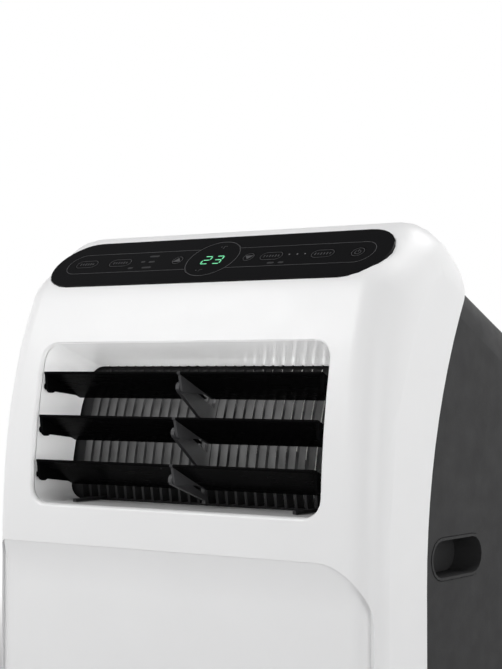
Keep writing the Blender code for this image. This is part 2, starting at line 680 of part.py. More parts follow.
def make_louvre_bracket(mats):
    """Fixed middle spine in front of the guard, with an arm to each blade's middle pivot."""
    thick = 1.6
    bracket = prism("louvre_bracket", mats["grey"], guard_outline(-5.0, -1.4, 489.5, 586, 12), "X",
                    -thick, thick)
    holes = bmesh.new()
    for index in range(3):
        y, z = blade_pivot(index)
        low, high = max(-34.0, 491.0 - z), (-17.0 if index < 2 else -14.0)
        tip = [(4.4 * cos(a), 4.4 * sin(a)) for a in (radians(62 + 33 * k) for k in range(6))]
        outline = tip + [(guard_y(z + low) - 2.0 - y, low), (guard_y(z + high) - 2.0 - y, high)]
        placed = [(y + a, z + b) for a, b in outline]
        arm = prism("arm_%d" % index, None, placed, "X", -thick + 0.01, thick - 0.01)
        join(bracket, arm)
        prism_into(holes, circle(y, z, 1.6 + GAP, 12), "X", -5, 5)
    return cut(bracket, add_object("bracket_holes", holes, None))


def make_swing_motor(mats):
    """Small round gear motor on the left of the duct, with its mounting ear and shaft."""
    y, z = -112.0, 566.0
    motor = turned("swing_motor", mats["steel"], [(0, -133.2), (3, -133.2), (3, -136), (13, -136), (13, -148),
                                                    (0, -148)], "X", 24, (0, y, z))
    return join(motor, box("swing_ears", None, -138.5, -137, -19, 19, -4, 4, origin=(0, y, z)))


# ---------------------------------------------------------------- control panel
def panel_frame():
    """Origin and turn of the control panel's own axes: x along it, y up the slope, z out of it."""
    return (0, *PANEL_CENTRE), (PANEL_TILT, 0, 0)


def key_outline(entry, margin):
    _, place_x, half, radius = entry
    return stadium(place_x, 0, half + margin, radius + margin, 8)


def make_control_panel(mats):
    origin, turn = panel_frame()
    outline = stadium(0, 0, PANEL_HALF_STRAIGHT + PANEL_RADIUS, PANEL_RADIUS, 16)
    panel = prism("control_panel", mats["gloss"], outline, "Z", -(PANEL_THICK - PANEL_PROUD), PANEL_PROUD,
                  origin, turn)
    bm = bmesh.new()
    for entry in KEYS:
        prism_into(bm, key_outline(entry, 0.3), "Z", -8, 8)
    prism_into(bm, circle(0, 0, DISPLAY_RADIUS + 0.3, 48), "Z", -8, 8)
    return cut(panel, add_object("panel_holes", bm, None, origin, turn))


def make_keys(mats):
    origin, turn = panel_frame()
    for entry in KEYS:
        prism(entry[0], mats["gloss"], key_outline(entry, 0.0), "Z", PANEL_PROUD - KEY_THICK, PANEL_PROUD,
              origin, turn)


def make_display_lens(mats):
    origin, turn = panel_frame()
    prism("display_lens", mats["gloss"], circle(0, 0, DISPLAY_RADIUS, 48), "Z", -(PANEL_THICK - PANEL_PROUD),
          PANEL_PROUD, origin, turn)


def make_control_board(mats):
    """Board behind the sloping face, with the display block on it."""
    origin, turn = panel_frame()
    board = box("control_board", mats["board"], -128, 128, -17, 17, -10.5, -8.9, origin=origin, turn=turn)
    return join(board, box("display_block", None, -12, 12, -6, 6, -9.5, -3.2, origin=origin, turn=turn))


# ---------------------------------------------------------------- air path and machinery
def make_evap_scroll(mats):
    """Moulded foam block with the fan chamber, and a channel that rises forward to the outlet guard."""
    behind = GUARD_DEPTH + 1.0
    front = [(guard_y(z) + behind, z) for z in (597, 575, 550, 520, 490)]
    outline = [(62, 381), (62, 614), (-52, 614)] + front + [(-89, 484), (-89, 381)]
    block = prism("evap_scroll", mats["foam"], outline, "X", -SCROLL_HALF, SCROLL_HALF)
    chamber = prism("fan_chamber", None, circle(*EVAP_WHEEL_CENTRE, EVAP_WHEEL_RADIUS + 10, 28), "Y", -48, 40)
    inlet = prism("fan_inlet", None, circle(*EVAP_WHEEL_CENTRE, EVAP_WHEEL_RADIUS - 12, 24), "Y", 30, 70)
    shaft = prism("shaft_hole", None, circle(*EVAP_WHEEL_CENTRE, 9, 12), "Y", -60, -40)
    motor_room = prism("motor_room", None, circle(*EVAP_WHEEL_CENTRE, 33, 20), "Y", -100, -55)
    mouth = [(-120, 505), (-40, 505), (-30, 540), (-40, 572), (-64, 588), (-120, 588)]
    channel = prism("outlet_channel", None, mouth, "X", -127, 127)
    return cut(block, chamber, inlet, shaft, motor_room, channel)


def make_fan_wheel(mats, name, centre, radius, y0, y1, blades):
    """Centrifugal wheel on a fore-and-aft axis: a back plate with a hub, and a ring of upright blades."""
    x, z = centre
    wheel = turned(name, mats["grey"], [(0, y0), (radius, y0), (radius, y0 + 3), (14, y0 + 3), (10, y0 + 18),
                                        (0, y0 + 18)], "Y", 24, (x, 0, z))
    bm = bmesh.new()
    for k in range(blades):
        angle = 2 * pi * k / blades
        length = radius * 0.2
        a = Vector((cos(angle), sin(angle)))
        lean = Vector((cos(angle + 0.9), sin(angle + 0.9)))
        side = Vector((-lean.y, lean.x)) * 0.9
        inner = a * (radius - length - 2.0)
        outer = inner + lean * length
        outer *= (radius - 2.2) / max(outer.length, radius - 2.2)
        prism_into(bm, [tuple(inner - side), tuple(outer - side), tuple(outer + side), tuple(inner + side)],
                   "Y", y0 + 1.5, y1 - 1.5)
    join(wheel, add_object(name + "_blades", bm, None, (x, 0, z)))
    rim = turned(name + "_rim", None, [(radius - radius * 0.2 - 4, y1 - 3), (radius, y1 - 3), (radius, y1),
                                       (radius - radius * 0.2 - 4, y1)], "Y", 24, (x, 0, z))
    join(wheel, rim)
    bore = prism(name + "_bore", None, circle(0, 0, 3.0 + GAP, 12), "Y", y0 - 5, y0 + 30, (x, 0, z))
    return cut(wheel, bore)


def make_fan_motor(mats, name, centre, radius, y0, y1, shaft_end):
    x, z = centre
    return turned(name, mats["steel"], [(0, y0), (radius * 0.55, y0), (radius, y0 + 5), (radius, y1 - 5),
                  (radius * 0.5, y1), (3, y1), (3, shaft_end), (0, shaft_end)], "Y", 28, (x, 0, z))


def make_cond_scroll(mats):
    """Black scroll housing of the lower fan: a round chamber with a chimney up to the exhaust."""
    x, z = COND_WHEEL_CENTRE
    outer_r = COND_WHEEL_RADIUS + 14
    scroll = prism("cond_scroll", mats["dark"], circle(x, z, outer_r, 28), "Y", 12, 78)
    chimney = box("cond_chimney", None, x - 44, x + outer_r - 4, 12.01, 77.99, z, 285)
    turn_out = prism("cond_turn_out", None, circle(*EXHAUST_CENTRE, EXHAUST_RADIUS - 2, 28), "Y", 12.02, 143)
    cavity = prism("cond_cavity", None, circle(x, z, outer_r - 2.5, 28), "Y", 14.5, 75.5)
    inlet = prism("cond_inlet", None, circle(x, z, COND_WHEEL_RADIUS - 12, 32), "Y", 60, 90)
    shaft = prism("cond_shaft_hole", None, circle(x, z, 8, 16), "Y", 0, 30)
    flue = box("cond_flue", None, x - 41.5, x + outer_r - 6.5, 14.5, 75.5, z, 284)
    mouth = prism("cond_mouth", None, circle(*EXHAUST_CENTRE, EXHAUST_RADIUS - 4.5, 28), "Y", 14.6, 160)
    return cut(join(scroll, chimney, turn_out), cavity, flue, mouth, inlet, shaft)


def make_coil(mats, name, x0, x1, y0, y1, z0, z1):
    """Finned coil between two end plates; grooves across it stand for the spaces between the fins."""
    coil = box(name, mats["fins"], x0, x1, y0, y1, z0, z1)
    plates = bmesh.new()
    for x in (x0, x1):
        box_into(plates, x - 1.0, x + 1.0, y0 - 2, y1 + 2, z0 - 2, z1 + 2)
    join(coil, add_object(name + "_plates", plates, None))
    bends = bmesh.new()
    rows = 5
    for k in range(rows):
        z = z0 + (z1 - z0) * (k + 0.5) / rows
        middle = 0.5 * (y0 + y1)
        hoop = arc(0, 0, 9.0, -90, 90, 6) + arc(0, 0, 4.0, 90, -90, 6)
        prism_into(bends, [(x1 + 0.5 + a, z + b) for a, b in hoop], "Y", middle - 3, middle + 3)
    return join(coil, add_object(name + "_bends", bends, None))


def make_compressor(mats):
    """Upright canned compressor on three feet, with its suction accumulator beside it."""
    x, y = COMPRESSOR_CENTRE
    can_side = [(0, 76), (40, 76), (52, 84), (54, 96), (54, 224), (50, 240), (30, 250),
                (9, 253), (9, 262), (0, 262)]
    can = turned("compressor", mats["paint"], can_side, "Z", 24, (x, y, 0))
    foot = [(64 * cos(radians(a)), 64 * sin(radians(a))) for a in (0, 22, 98, 120, 142, 218, 240, 262, 338)]
    join(can, prism("compressor_foot", None, foot, "Z", 77, 80.5, (x, y, 0)))
    tank_side = [(0, 122), (12, 126), (19, 134), (19, 208), (12, 216), (0, 220)]
    tank = turned("accumulator", None, tank_side, "Z", 20, (x - 74, y + 4, 0))
    strap = box("accumulator_strap", None, -60, -40, -8, 12, 160, 172, origin=(x, y, 0))
    return join(can, tank, strap)


def make_pipe(mats):
    """Copper line from the compressor's top, up and back to the evaporator's end."""
    x, y = COMPRESSOR_CENTRE
    route = [(x, y, 263), (x, y, 276), (x + 8, y + 4, 290), (x + 34, y + 16, 297), (x + 58, y + 42, 300),
             (142, 40, 306), (149.5 - 3.5, 62, 322), (146, 78, 350), (146, 84, 400), (146, 88, 440)]
    curve = bpy.data.curves.new("refrigerant_pipe", "CURVE")
    curve.dimensions = "3D"
    points = spline(route, 3)
    line = curve.splines.new("POLY")
    line.points.add(len(points) - 1)
    for point, spot in zip(line.points, points):
        point.co = (spot[0] * MM, spot[1] * MM, spot[2] * MM, 1)
    curve.bevel_depth = 3.2 * MM
    curve.bevel_resolution = 2
    curve.use_fill_caps = True
    curve.materials.append(mats["copper"])
    obj = bpy.data.objects.new("refrigerant_pipe", curve)
    bpy.context.scene.collection.objects.link(obj)
    return obj


def make_base_pan(mats):
    """Tray under everything, with a platform for the compressor and a pad over each caster."""
    pan = prism("base_pan", mats["dark"], rounded_rect(-162, 162, -138, 139, 28, 5), "Z", 39, 74)
    well = prism("pan_well", None, rounded_rect(-158, 158, -134, 135, 24, 5), "Z", 48, 90)
    x, y = COMPRESSOR_CENTRE
    platform = prism("pan_platform", None, rounded_rect(x - 70, x + 70, y - 62, y + 66, 10), "Z", 46, 75.6)
    sockets = bmesh.new()
    for cx, cy in caster_places():
        prism_into(sockets, circle(cx, cy, 5.0 + GAP, 16), "Z", 20, 60)
    drain = prism("pan_drain", None, circle(DRAIN_LOWER[0], DRAIN_LOWER[1], 6.5, 16), "Y", 120, 160)
    pads = bmesh.new()
    for cx, cy in caster_places():
        prism_into(pads, circle(cx, cy, 11, 16), "Z", 46, 60)
    cut(pan, well)
    join(pan, platform, add_object("caster_pads", pads, None))
    return cut(pan, add_object("caster_sockets", sockets, None), drain)


def make_drip_tray(mats):
    """Partition between the cool upper half and the warm lower half, with a rim that catches water."""
    tray = prism("drip_tray", mats["foam"], rounded_rect(-158, 158, -88, 128, 8), "Z", 364, 379)
    well = prism("tray_well", None, rounded_rect(-136, 136, 66, 127, 6), "Z", 368, 400)
    pipe_notch = box("pipe_notch", None, 139, 153.5, 60, 104, 350, 400)
    return cut(tray, well, pipe_notch)


def make_electrical_box(mats):
    """Box with the capacitor and mains terminals, on the left of the lower half."""
    shell = box("electrical_box", mats["grey"], -150, -52, -128, -84, 98, 196, bevel=2.0)
    can = turned("capacitor", None, [(0, -6), (17, -6), (17, 62), (0, 62)], "Z", 20, (-100, -106, 190))
    return join(shell, can)


# ---------------------------------------------------------------- back of the cabinet
def bars(bm, x0, x1, z0, z1, pitch, slot, y0, y1):
    """Level slots between two heights, evenly spaced, as cutting boxes."""
    count = int((z1 - z0 + pitch - slot) / pitch)
    start = 0.5 * (z0 + z1) - 0.5 * (count - 1) * pitch
    for k in range(count):
        z = start + k * pitch
        box_into(bm, x0, x1, y0, y1, z - 0.5 * slot, z + 0.5 * slot)


def make_intake_grille(mats, name, opening, posts):
    """Louvred cover that clips over an intake opening, flush with the back of the cabinet."""
    x0, x1, z0, z1 = opening
    inside = rounded_rect(x0 + GAP, x1 - GAP, z0 + GAP, z1 - GAP, 8 - GAP)
    grille = prism(name, mats["dark"], inside, "Y", REAR_Y - WALL, REAR_Y + 1.0)
    lip = prism(name + "_lip", None, rounded_rect(x0 - 4, x1 + 4, z0 - 4, z1 + 4, 10), "Y",
                REAR_Y + GAP, REAR_Y + 2.4)
    bm = bmesh.new()
    span = (x1 - x0 - 16) / posts
    for k in range(posts):
        left = x0 + 8 + k * span + 1.5
        bars(bm, left, left + span - 3.0, z0 + 6, z1 - 6, 9.0, 5.4, REAR_Y - 20, REAR_Y + 20)
    return cut(join(grille, lip), add_object(name + "_slots", bm, None))


def make_air_filter(mats):
    """Framed filter sheet behind the upper grille."""
    x0, x1, z0, z1 = UPPER_INTAKE
    frame = box("air_filter", mats["mesh"], x0 + 3, x1 - 3, REAR_Y - 7.2, REAR_Y - WALL - GAP, z0 + 3, z1 - 3)
    bm = bmesh.new()
    for i in range(4):
        for k in range(2):
            left = x0 + 8 + i * 58.0
            low = z0 + 9 + k * 56.5
            box_into(bm, left, left + 54, REAR_Y - 20, REAR_Y - 5.4, low, low + 52)
    return cut(frame, add_object("filter_pockets", bm, None))


def make_exhaust_collar(mats):
    """Round collar that the hose adapter twists onto, with a flange outside the back."""
    x, z = EXHAUST_CENTRE
    r = EXHAUST_RADIUS
    profile = [(r - 3, REAR_Y - 4.6), (r, REAR_Y - 4.6), (r, REAR_Y + GAP), (r + 7, REAR_Y + GAP),
               (r + 7, REAR_Y + 2.4), (r + 1, BACK_MOST_Y), (r - 3, BACK_MOST_Y)]
    collar = turned("exhaust_collar", mats["dark"], profile, "Y", 40, (x, 0, z))
    for k, angle in enumerate((0, 60, 120)):
        bar = box("guard_bar_%d" % k, None, -r + 1.5, r - 1.5, REAR_Y - 4 + 0.01 * k, REAR_Y - 1 - 0.01 * k,
                  -1.2, 1.2, origin=(x, 0, z), turn=(0, radians(angle), 0))
        join(collar, bar)
    return collar


def make_drains(mats):
    """Two drain spouts through the back, each with a pull-out plug."""
    for name, (x, z) in (("upper", DRAIN_UPPER), ("lower", DRAIN_LOWER)):
        turned("drain_spout_" + name, mats["dark"], [(6, REAR_Y - 5), (9, REAR_Y - 5), (9, REAR_Y + GAP),
               (12, REAR_Y + GAP), (12, REAR_Y + 1.8), (6, REAR_Y + 1.8)], "Y", 18, (x, 0, z))
        turned("drain_plug_" + name, mats["black"], [(0, REAR_Y - 5), (5.6, REAR_Y - 5), (5.6, REAR_Y + 2.1),
               (10, REAR_Y + 2.1), (9, BACK_MOST_Y - 0.2), (0, BACK_MOST_Y - 0.2)], "Y", 18, (x, 0, z))


def make_cord_gland(mats):
    """Bush where the mains lead leaves the back."""
    x, z = CORD_INLET
    gland_side = [(4.5, REAR_Y - 6), (11, REAR_Y - 6), (11, REAR_Y + GAP), (14, REAR_Y + GAP),
                  (13, REAR_Y + 2.6), (4.5, REAR_Y + 3.2)]
    turned("cord_gland", mats["black"], gland_side, "Y", 18, (x, 0, z))


def make_back_screws(mats):
    """Four raised-head screws near the corners of the back."""
    for k, (x, z) in enumerate(((-132, 538), (132, 538), (-132, 74), (132, 74))):
        head_side = [(0, 0.3), (3.6, 0.3), (3.6, 1.2), (2.4, 2.0), (0, 2.2)]
        head = turned("back_screw_%d" % (k + 1), mats["steel"], head_side, "Y", 12, (x, REAR_Y, z))
        cut(head, box("screw_slot_%d" % k, None, -2.6, 2.6, 1.2, 4, -0.4, 0.4, origin=(x, REAR_Y, z)))


# ---------------------------------------------------------------- casters
def caster_places():
    return [(sx * CASTER_X, sy * CASTER_Y) for sy in (-1, 1) for sx in (-1, 1)]


def make_caster(mats, index, x, y):
    """Swivel fork with its stem, and the wheel that turns on its axle."""
    number = index + 1
    fork = turned("caster_fork_%d" % number, mats["dark"], [(0, 33), (11, 33), (12, 34), (12, 37), (5, 37),
                  (5, 52), (4, 54), (0, 54)], "Z", 14, (x, y, 0))
    cheeks = bmesh.new()
    half = 0.5 * WHEEL_WIDTH
    outline = [(-8, 35.5), (8, 35.5), (15, 28)] + arc(CASTER_TRAIL, WHEEL_RADIUS, 5, 0, -180, 5) + [(-8, 30)]
    for side in (-1, 1):
        prism_into(cheeks, outline, "X", *sorted((side * (half + GAP), side * (half + GAP + 2))))
    axle = prism("caster_axle_%d" % number, None, circle(CASTER_TRAIL, WHEEL_RADIUS, 2.5, 10), "X",
                 -half - 1.5, half + 1.5, (x, y, 0))
    join(fork, add_object("caster_cheeks_%d" % number, cheeks, None, (x, y, 0)), axle)
    wheel_side = [(2.5 + GAP, -half), (WHEEL_RADIUS - 2, -half), (WHEEL_RADIUS, -half + 2),
                  (WHEEL_RADIUS, half - 2), (WHEEL_RADIUS - 2, half), (2.5 + GAP, half)]
    turned("caster_wheel_%d" % number, mats["tyre"], wheel_side, "X", 20,
           (x, y + CASTER_TRAIL, WHEEL_RADIUS))


# ---------------------------------------------------------------- build
def main():
    for obj in list(bpy.data.objects):
        bpy.data.objects.remove(obj)
    mats = make_materials()
    make_front_shell(mats)
    make_rear_shell(mats)
    make_grip_cup(mats, "grip_cup_left", -1)
    make_grip_cup(mats, "grip_cup_right", 1)
    make_outlet_duct(mats)
    make_guard_grille(mats)
    for index in range(3):
        make_louvre(mats, index)
    make_louvre_link(mats)
    make_louvre_bracket(mats)
    make_swing_motor(mats)
    make_control_panel(mats)
    make_keys(mats)
    make_display_lens(mats)
    make_control_board(mats)
    make_evap_scroll(mats)
    make_fan_wheel(mats, "evap_wheel", EVAP_WHEEL_CENTRE, EVAP_WHEEL_RADIUS, -42, 28, 16)
    make_fan_motor(mats, "evap_motor", EVAP_WHEEL_CENTRE, 30, -88, -57, -26)
    make_coil(mats, "evaporator", -128, 128, 84, 124, 400, 520)
    make_drip_tray(mats)
    make_cond_scroll(mats)
    make_fan_wheel(mats, "cond_wheel", COND_WHEEL_CENTRE, COND_WHEEL_RADIUS, 20, 64, 14)
    make_fan_motor(mats, "cond_motor", COND_WHEEL_CENTRE, 40, -44, 9, 34)
    make_coil(mats, "condenser", -120, 120, 90, 122, 92, 214)
    make_compressor(mats)
    make_pipe(mats)
    make_electrical_box(mats)
    make_base_pan(mats)
    make_intake_grille(mats, "upper_intake_grille", UPPER_INTAKE, 2)
    make_intake_grille(mats, "lower_intake_grille", LOWER_INTAKE, 2)
    make_air_filter(mats)
    make_exhaust_collar(mats)
    make_drains(mats)
    make_cord_gland(mats)
    make_back_screws(mats)
    for index, (x, y) in enumerate(caster_places()):
        make_caster(mats, index, x, y)


main()
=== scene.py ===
"""Portable air conditioner: finishes, panel graphics, stage, lights and camera."""
import json
import math

import bmesh
import bpy
from mathutils import Matrix, Vector


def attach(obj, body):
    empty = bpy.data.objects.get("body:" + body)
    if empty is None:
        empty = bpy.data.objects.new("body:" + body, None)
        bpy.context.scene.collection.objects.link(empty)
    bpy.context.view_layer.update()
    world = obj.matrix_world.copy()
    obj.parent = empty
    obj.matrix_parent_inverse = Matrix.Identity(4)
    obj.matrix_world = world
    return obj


MM = 0.001

# Smoothing of every CAD node
WELD_DISTANCE = 2e-6               # metres
SMOOTH_ANGLE = math.radians(28)    # a sharper edge stays an edge

# Scales of the noise in the finishes, roughly features per metre
CLOUD_SCALE = 14.0                 # clouds in the colour
PATCH_SCALE = 60.0                 # patches in the roughness
GLOW_SCALE = 400.0                 # unevenness of the display's glow
PIT_SCALE = 900.0                  # pits of the leather-like texture
BEAD_SCALE = 260.0                 # beads of the expanded foam
LEAST_ROUGH = 0.03
UNSTRETCHED = (1.0, 1.0, 1.0)
DRAWN_ALONG_X = (0.25, 1.0, 1.0)   # features are four times as long along x

# Panel frame: x along the panel, y up its slope, z out of its face
PANEL_ORIGIN = (0.0, -0.0956, 0.6696)   # metres
PANEL_SLOPE = math.radians(37.2)
PANEL_FRAME = Matrix.Translation(PANEL_ORIGIN) @ Matrix.Rotation(PANEL_SLOPE, 4, "X")

# Panel graphics, in mm in the panel frame
MARK_THICK = 0.05
MARK_SUNK = 0.01                   # how deep a mark is sunk in the face under it
LINE_WIDTH, THIN_LINE, RING_LINE, POWER_LINE = 0.42, 0.35, 0.55, 0.5
OUTLINE_HALF, OUTLINE_RADIUS = 127.8, 12.8   # to the centres of its round ends, and their radius
RING_RADIUS, RING_SIDES = 22.1, 60
RING_CLEAR = 22.7                  # the outline stops at this radius round the display
DOT_SIDES, SMALL_DOT, SPEED_DOT = 10, 0.55, 0.6
SPEED_DOTS_X, SPEED_DOTS_Y = (68.4, 75.2, 82.0), 0.9
DIGITS = ((-7.7, "2"), (3.0, "3"))   # left edge and figure
DIGIT_WIDTH, DIGIT_HEIGHT, DIGIT_BASE = 6.4, 10.8, -7.2   # the base is the lower edge
DIGIT_MARGIN = 0.6                 # from a digit's foot or head to the centre line of its bar
SEGMENT_WIDTH, SEGMENT_GAP = 0.85, 0.35   # the gap is between a bar's tip and its corner
ICON_RADIUS, ICON_STEPS = 1.1, 5
BAR_HALVES = (1.5, 1.15, 1.5, 1.3, 1.5, 1.2)   # half heights of a key's bars
BAR_PITCH, BAR_WIDTH = 2.5, 0.7
ARROW_HALF, ARROW_TIP = 3.6, 2.9
ARROW_FOOT = 0.62                  # how far the foot is from the middle, as a part of the tip
POWER_RADIUS, POWER_DROP = 2.3, -0.2
POWER_OPENS, POWER_CLOSES = 125, 415   # degrees
POWER_STROKE = (0.3, 3.2)
KEY_LINE_INSET = 0.3

# Stage and camera
FLOOR_RADIUS = 30.0                # metres
FLOOR_FADE = (1.8, 3.3)            # metres from the middle where the fade to white starts and ends
HORIZON_FADE = (0.23, 0.45)        # upward part of the direction where the white darkens
CAMERA_PLACE = (0.76894, -1.12505, 0.587)   # metres
CAMERA_TURN, CAMERA_PITCH = math.radians(35.5), math.radians(1.205)
CAMERA_LENS, CAMERA_SENSOR = 93.36, 36.0   # mm
CAMERA_REACH = 60.0                # metres

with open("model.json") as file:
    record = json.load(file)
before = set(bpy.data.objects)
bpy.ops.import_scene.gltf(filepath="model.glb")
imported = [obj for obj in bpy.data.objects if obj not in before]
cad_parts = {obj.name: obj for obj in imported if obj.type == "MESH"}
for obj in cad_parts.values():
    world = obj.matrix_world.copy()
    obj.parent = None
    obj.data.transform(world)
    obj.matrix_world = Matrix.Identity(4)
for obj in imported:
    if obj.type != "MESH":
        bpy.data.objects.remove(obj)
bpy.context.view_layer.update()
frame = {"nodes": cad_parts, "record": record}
nodes = frame["nodes"]


# ---------------------------------------------------------------- node helpers

def input_of(node, name):
    """The enabled input socket of that name."""
    return next(s for s in node.inputs if s.name == name and s.enabled)


def output_of(node, name):
    """The enabled output socket of that name."""
    return next(s for s in node.outputs if s.name == name and s.enabled)


def add(tree, kind, **settings):
    """A node of that kind with its properties set."""
    node = tree.nodes.new(kind)
    for key, value in settings.items():
        setattr(node, key, value)
    return node


def noise(tree, vector, scale, detail=3.0, rough=0.55):
    """The value of a 3-D noise at the vector."""
    node = add(tree, "ShaderNodeTexNoise")
    node.inputs["Scale"].default_value = scale
    node.inputs["Detail"].default_value = detail
    node.inputs["Roughness"].default_value = rough
    tree.links.new(vector, node.inputs["Vector"])
    return node.outputs["Fac"]


def remap(tree, value, low, high, from_low=0.3, from_high=0.7):
    """The value stretched from one range, by default a noise's, to another."""
    node = add(tree, "ShaderNodeMapRange")
    input_of(node, "From Min").default_value = from_low
    input_of(node, "From Max").default_value = from_high
    input_of(node, "To Min").default_value = low
    input_of(node, "To Max").default_value = high
    tree.links.new(value, input_of(node, "Value"))
    return output_of(node, "Result")


def mix_color(tree, factor, first, second):
    """A colour between two, by a factor socket."""
    node = add(tree, "ShaderNodeMix", data_type="RGBA")
    tree.links.new(factor, input_of(node, "Factor"))
    for name, value in (("A", first), ("B", second)):
        socket = input_of(node, name)
        if hasattr(value, "links"):
            tree.links.new(value, socket)
        else:
            socket.default_value = (*value, 1.0)
    return output_of(node, "Result")


def bump(tree, height, strength, distance, normal=None):
    """A bump node from a height socket."""
    node = add(tree, "ShaderNodeBump")
    node.inputs["Strength"].default_value = strength
    node.inputs["Distance"].default_value = distance
    tree.links.new(height, node.inputs["Height"])
    if normal is not None:
        tree.links.new(normal, node.inputs["Normal"])
    return node.outputs["Normal"]


def scaled(color, factor):
    """The colour made lighter or darker."""
    return tuple(min(1.0, c * factor) for c in color)


def base_of(shader):
    """What feeds the shader's colour now."""
    return shader.inputs["Base Color"].links[0].from_socket


def grained(name, color, rough, spread=0.03, grain=900.0, grain_depth=0.02, grain_height=0.0001,
            rough_spread=0.05, metallic=0.0, specular=0.5, ior=1.5, stretch=UNSTRETCHED):
    """A finish with cloudy colour, uneven roughness and a fine grain.

    Gives the material, and its tree, shader, coordinates and normal, for a finish that adds to it.
    """
    mat = bpy.data.materials.new(name)
    mat.use_nodes = True
    tree = mat.node_tree
    shader = tree.nodes["Principled BSDF"]
    shader.inputs["Metallic"].default_value = metallic
    shader.inputs["Specular IOR Level"].default_value = specular
    shader.inputs["IOR"].default_value = ior
    place = add(tree, "ShaderNodeTexCoord")
    vector = place.outputs["Object"]
    if stretch != UNSTRETCHED:
        mapping = add(tree, "ShaderNodeMapping")
        mapping.inputs["Scale"].default_value = stretch
        tree.links.new(vector, mapping.inputs["Vector"])
        vector = mapping.outputs["Vector"]
    cloud = noise(tree, vector, CLOUD_SCALE)
    colour = mix_color(tree, remap(tree, cloud, 0.0, 1.0),
                       scaled(color, 1 - spread), scaled(color, 1 + spread))
    tree.links.new(colour, shader.inputs["Base Color"])
    patch = noise(tree, vector, PATCH_SCALE, detail=5.0)
    low, high = max(LEAST_ROUGH, rough - rough_spread), min(1.0, rough + rough_spread)
    tree.links.new(remap(tree, patch, low, high), shader.inputs["Roughness"])
    fine = noise(tree, vector, grain, detail=2.0)
    normal = bump(tree, fine, grain_depth, grain_height)
    tree.links.new(normal, shader.inputs["Normal"])
    return mat, tree, shader, vector, normal


def moulded(name, color, rough, **settings):
    """A moulded or machined finish that needs nothing on top of its grain."""
    return grained(name, color, rough, **settings)[0]


def textured_dark(name, color, rough):
    """Charcoal plastic with a spark-eroded leather-like texture: pits over a fine grain."""
    mat, tree, shader, vector, normal = grained(
        name, color, rough, spread=0.06, grain=1500.0, grain_depth=0.35, rough_spread=0.06,
        ior=1.32)
    cells = add(tree, "ShaderNodeTexVoronoi", feature="F1")
    cells.inputs["Scale"].default_value = PIT_SCALE
    tree.links.new(vector, cells.inputs["Vector"])
    pitted = bump(tree, cells.outputs["Distance"], strength=0.3, distance=0.00015, normal=normal)
    tree.links.new(pitted, shader.inputs["Normal"])
    return mat


def striped(name, color, dark, rough, pitch, metallic=0.0):
    """Fine parallel fins or threads, seen as stripes across x; the darker colour between the
    stripes is painted shade of the gaps between them.
    """
    mat, tree, shader, vector, normal = grained(
        name, color, rough, spread=0.04, grain=700.0, grain_depth=0.1, metallic=metallic)
    wave = add(tree, "ShaderNodeTexWave", wave_type="BANDS", bands_direction="X",
               wave_profile="TRI")
    # The wave's bands repeat every pi / (10 * scale)
    wave.inputs["Scale"].default_value = math.pi / (10 * pitch)
    wave.inputs["Distortion"].default_value = 0.05
    tree.links.new(vector, wave.inputs["Vector"])
    stripe = remap(tree, wave.outputs["Fac"], 0.0, 1.0, from_low=0.2, from_high=0.6)
    # painted shade: the darker colour fills the gaps between the fins, and between the threads of a
    # mesh
    tree.links.new(mix_color(tree, stripe, dark, base_of(shader)), shader.inputs["Base Color"])
    ridged = bump(tree, wave.outputs["Fac"], strength=0.6, distance=0.4 * pitch, normal=normal)
    tree.links.new(ridged, shader.inputs["Normal"])
    return mat


def eared_blade(name, color, ear_highlight_color, ear_low, ear_high):
    """Black blade plastic with a painted highlight: paler on the thin ear that stands between two
    values of x, where the ear's face catches the light.
    """
    mat, tree, shader = grained(
        name, color, rough=0.26, spread=0.2, grain=1300.0, grain_height=0.00003, ior=1.035,
        stretch=DRAWN_ALONG_X)[:3]
    place = add(tree, "ShaderNodeTexCoord")
    split = add(tree, "ShaderNodeSeparateXYZ")
    tree.links.new(place.outputs["Object"], split.inputs[0])
    above = add(tree, "ShaderNodeMath", operation="GREATER_THAN")
    below = add(tree, "ShaderNodeMath", operation="LESS_THAN")
    both = add(tree, "ShaderNodeMath", operation="MULTIPLY")
    above.inputs[1].default_value = ear_low
    below.inputs[1].default_value = ear_high
    for test, slot in ((above, 0), (below, 1)):
        tree.links.new(split.outputs["X"], test.inputs[0])
        tree.links.new(test.outputs[0], both.inputs[slot])
    # painted highlight: the ear between the two values of x gets the paler colour
    tree.links.new(mix_color(tree, both.outputs[0], base_of(shader), ear_highlight_color),
                   shader.inputs["Base Color"])
    return mat


def beaded_foam(name, color):
    """Expanded foam: shallow polygon beads with darker seams."""
    mat, tree, shader, vector, normal = grained(
        name, color, rough=0.75, grain=500.0, grain_depth=0.1, grain_height=0.0002, specular=0.2)
    beads = add(tree, "ShaderNodeTexVoronoi", feature="DISTANCE_TO_EDGE")
    beads.inputs["Scale"].default_value = BEAD_SCALE
    tree.links.new(vector, beads.inputs["Vector"])
    edge = remap(tree, beads.outputs["Distance"], 0.0, 1.0, from_low=0.0, from_high=0.12)
    tree.links.new(mix_color(tree, edge, scaled(color, 0.8), base_of(shader)),
                   shader.inputs["Base Color"])
    domed = bump(tree, edge, strength=0.4, distance=0.0003, normal=normal)
    tree.links.new(domed, shader.inputs["Normal"])
    return mat


def lit(name, color, strength):
    """A light-emitting display segment with a slightly uneven glow."""
    mat = bpy.data.materials.new(name)
    mat.use_nodes = True
    tree = mat.node_tree
    shader = tree.nodes["Principled BSDF"]
    shader.inputs["Emission Strength"].default_value = strength
    shader.inputs["Roughness"].default_value = 0.4
    place = add(tree, "ShaderNodeTexCoord")
    cloud = noise(tree, place.outputs["Object"], GLOW_SCALE)
    colour = mix_color(tree, remap(tree, cloud, 0.0, 1.0), scaled(color, 0.85), color)
    tree.links.new(colour, shader.inputs["Emission Color"])
    tree.links.new(colour, shader.inputs["Base Color"])
    return mat


# ---------------------------------------------------------------- finishes

